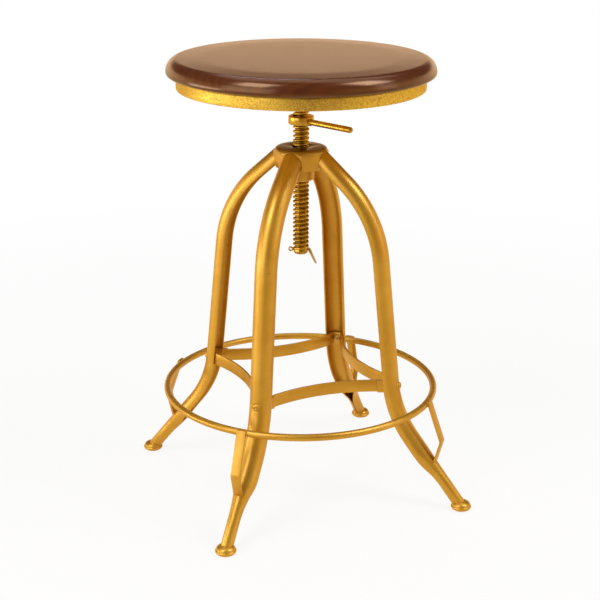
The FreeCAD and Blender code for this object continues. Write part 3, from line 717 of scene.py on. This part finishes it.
# %% Lay the beads of one leg and carry them round
beads = bmesh.new()
counts = []
for node, other, radius in (
    ("ring_bar_back_right", "leg_back_right", 0.7),
    ("ring_bar_back_right", "foot_ring", 1.0),
):
    places = seam_places(node, other, radius * 0.9)
    for spot in places:
        bmesh.ops.create_uvsphere(
            beads, u_segments=8, v_segments=5, radius=radius * MM, matrix=Matrix.Translation(spot)
        )
    counts.append(len(places))
one_leg = beads.verts[:] + beads.edges[:] + beads.faces[:]
for quarter in (90, 180, 270):
    copy = bmesh.ops.duplicate(beads, geom=one_leg)
    fresh = [item for item in copy["geom"] if isinstance(item, bmesh.types.BMVert)]
    turn = Matrix.Rotation(math.radians(quarter), 3, "Z")
    bmesh.ops.rotate(beads, cent=(0, 0, 0), matrix=turn, verts=fresh)
print("drops on one leg", counts)
finish_piece(beads, "weld_beads", "hub")

# %% [markdown]
# ## Spot welds on the braces
# The front and back braces lap a tab of the side braces, and two round welds hold
# each lap. A ray is shot from the middle of the stool at the brace, and a flat
# drop is set where it lands, facing along the surface there.

# %% Set the spot welds
SPOT_HEIGHTS = (163.5, 173.5)
SPOT_INSET = 6
SPOT_RADIUS = 1.7
FLATTEN = Matrix.Diagonal((1, 1, 0.45, 1))
spots = bmesh.new()
for node, way in (("brace_front", -1), ("brace_back", 1)):
    plate = joined(node)
    surface = BVHTree.FromBMesh(plate)
    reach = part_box(node)[1].x - SPOT_INSET * MM
    for side in (-reach, reach):
        for height in SPOT_HEIGHTS:
            start = Vector((side, 0, height * MM))
            hit, normal = surface.ray_cast(start, Vector((0, way, 0)))[:2]
            facing = normal.to_track_quat("Z", "Y").to_matrix().to_4x4()
            placing = Matrix.Translation(hit) @ facing @ FLATTEN
            bmesh.ops.create_uvsphere(
                spots, u_segments=12, v_segments=8, radius=SPOT_RADIUS * MM, matrix=placing
            )
    plate.free()
finish_piece(spots, "spot_welds", "brace_front")

# %% [markdown]
# ## Floor, light and camera
# The stool stands on a plain pale floor. The camera sees the far floor and the room
# as white, and near the stool the floor keeps a share of its own shading, so that
# the shadow stays. A reflection sees a warm room instead, as in a studio with cards:
# bright at the sides, bright and low behind, where the seat's sheen comes from, and
# dark on the camera's side. The light on the stool stays at a plain level, so the
# finishes keep their colours. The key lamp is a broad one at the left. Two smaller
# ones, high at the left and right, make the soft highlights on the seat's edge. A
# low one lights the pan, a large one overhead and one at the right fill in, and a
# narrow cool strip behind draws a thin line on the wood.

# %% Helpers for what the camera and a reflection see
CAMERA_SIDE = (-0.368, -0.930, 0.0)
WHITE = (1, 1, 1, 1)


def seen_share(tree):
    """1 for rays that show the background: camera, glossy and transmission rays."""
    path = add(tree, "ShaderNodeLightPath")
    both = maths(tree, "MAXIMUM", path.outputs["Is Camera Ray"], path.outputs["Is Glossy Ray"])
    return maths(tree, "MAXIMUM", both, path.outputs["Is Transmission Ray"])


def white_for_camera(tree, colour):
    """White where the camera looks, and the colour in a reflection."""
    by_camera = add(tree, "ShaderNodeLightPath").outputs["Is Camera Ray"]
    return mix(tree, by_camera, colour, WHITE)


def toward_camera(tree, place):
    """How far a place or a direction lies to the camera's side."""
    inputs = {0: place, 1: CAMERA_SIDE}
    return add(tree, "ShaderNodeVectorMath", inputs, operation="DOT_PRODUCT").outputs["Value"]


print("the camera sees white, and a reflection sees the room")

# %% Floor
FLOOR_RADIUS = 9.0
floor_bm = bmesh.new()
bmesh.ops.create_circle(floor_bm, cap_ends=True, segments=96, radius=FLOOR_RADIUS)
floor_mesh = into_mesh(floor_bm, "floor")
floor = new_object("floor", floor_mesh)
floor_paint, tree, place = new_material(
    "floor_paint", Base_Color=(0.85, 0.85, 0.85, 1), Roughness=0.9
)
nearness = remap(tree, toward_camera(tree, place), 0.4, 1.4)
warm = mix(tree, nearness, (1.0, 0.76, 0.40, 1), (0.66, 0.49, 0.24, 1))
glow = add(tree, "ShaderNodeEmission", {"Color": white_for_camera(tree, warm), "Strength": 1.0})
away = add(tree, "ShaderNodeVectorMath", {0: place}, operation="LENGTH").outputs["Value"]
share = maths(tree, "MULTIPLY", seen_share(tree), remap(tree, away, 0.5, 1.6, 0.86, 1.0))
paint = tree.nodes["Principled BSDF"]
blend = add(tree, "ShaderNodeMixShader", {0: share, 1: paint.outputs[0], 2: glow.outputs[0]})
fill(tree, tree.nodes["Material Output"], {"Surface": blend.outputs[0]})
floor_mesh.materials.append(floor_paint)
print("floor with a radius of", FLOOR_RADIUS, "m")

# %% World
world = bpy.data.worlds.new("studio")
bpy.context.scene.world = world
world.use_nodes = True
tree = world.node_tree
tree.nodes.clear()
dim = add(tree, "ShaderNodeBackground", {"Color": (1.0, 0.98, 0.95, 1), "Strength": 0.3})
way = add(tree, "ShaderNodeTexCoord").outputs["Generated"]
up = add(tree, "ShaderNodeSeparateXYZ", {"Vector": way}).outputs["Z"]
toward = toward_camera(tree, way)
low_edge = remap(tree, toward, -0.3, -0.7, 0.17, 0.178)
high_edge = remap(tree, toward, -0.3, -0.7, 0.45, 0.20)
behind = remap(tree, toward, -0.3, -0.7)
bright = mix(tree, behind, (1.14, 0.78, 0.36, 1), (1.40, 0.95, 0.58, 1))
dark = mix(tree, behind, (0.22, 0.17, 0.11, 1), (0.08, 0.05, 0.03, 1))
room = mix(tree, remap(tree, up, low_edge, high_edge), bright, dark)
room = mix(tree, remap(tree, toward, 0.72, 0.97), room, (0.18, 0.14, 0.09, 1))
seen = add(tree, "ShaderNodeBackground", {"Color": white_for_camera(tree, room), "Strength": 1.0})
shaders = {0: seen_share(tree), 1: dim.outputs[0], 2: seen.outputs[0]}
both = add(tree, "ShaderNodeMixShader", shaders)
add(tree, "ShaderNodeOutputWorld", {"Surface": both.outputs[0]})
print("studio has", len(tree.nodes), "nodes")


# %% Lamps
def lamp(name, place, goal, width, height, power, colour):
    """A rectangular lamp that looks from its place to its goal."""
    data = bpy.data.lights.new(name, "AREA")
    data.shape = "RECTANGLE"
    data.size = width
    data.size_y = height
    data.energy = power
    data.color = colour
    made = new_object(name, data)
    made.location = place
    made.rotation_euler = (Vector(goal) - Vector(place)).to_track_quat("-Z", "Y").to_euler()


lamp("overhead", (0.3, 0.5, 2.4), (0, 0, 0.5), 2.2, 1.6, 10, (1.0, 0.98, 0.94))
lamp("key_left", (-2.2, -1.0, 0.95), (0, 0, 0.4), 1.8, 1.5, 15, (1.0, 1.0, 1.0))
lamp("upper_left", (-1.42, -0.57, 2.18), (0, 0, 0.6), 0.9, 1.1, 22, (1.0, 0.96, 0.92))
lamp("upper_right", (1.18, -0.98, 2.18), (0, 0, 0.6), 0.9, 1.1, 24, (1.0, 0.96, 0.92))
lamp("low_left", (-2.2, 0.6, 0.30), (0, 0, 0.55), 1.4, 0.5, 10, (1.0, 1.0, 0.9))
lamp("back_strip", (0.437, 1.892, 2.167), (-0.12, -0.115, 0.61), 0.7, 0.12, 2, (0.72, 0.84, 1.0))
lamp("fill_right", (1.9, -1.5, 1.1), (0, 0, 0.4), 0.8, 1.4, 4.5, (1.0, 1.0, 1.0))
print("lamps:", [light.name for light in bpy.data.lights])

# %% Camera
AZIMUTH = math.radians(-21.57)
LOOK_DOWN = 0.3317
ROLL = 0.0027
PICTURE_HEIGHT = 600
view = bpy.data.cameras.new("photo_view")
view.lens = 83.37
view.sensor_width = 36.0
view.shift_y = -1 / PICTURE_HEIGHT
camera = new_object("photo_view", view)
camera.location = (-0.67097, -1.69480, 0.9016)
tilt = Matrix.Rotation(math.pi / 2 - LOOK_DOWN, 4, "X") @ Matrix.Rotation(ROLL, 4, "Z")
camera.rotation_euler = (Matrix.Rotation(AZIMUTH, 4, "Z") @ tilt).to_euler()
bpy.context.scene.camera = camera
bpy.context.scene.view_settings.view_transform = "Standard"
print("camera", [round(v, 3) for v in camera.location], "lens", view.lens)
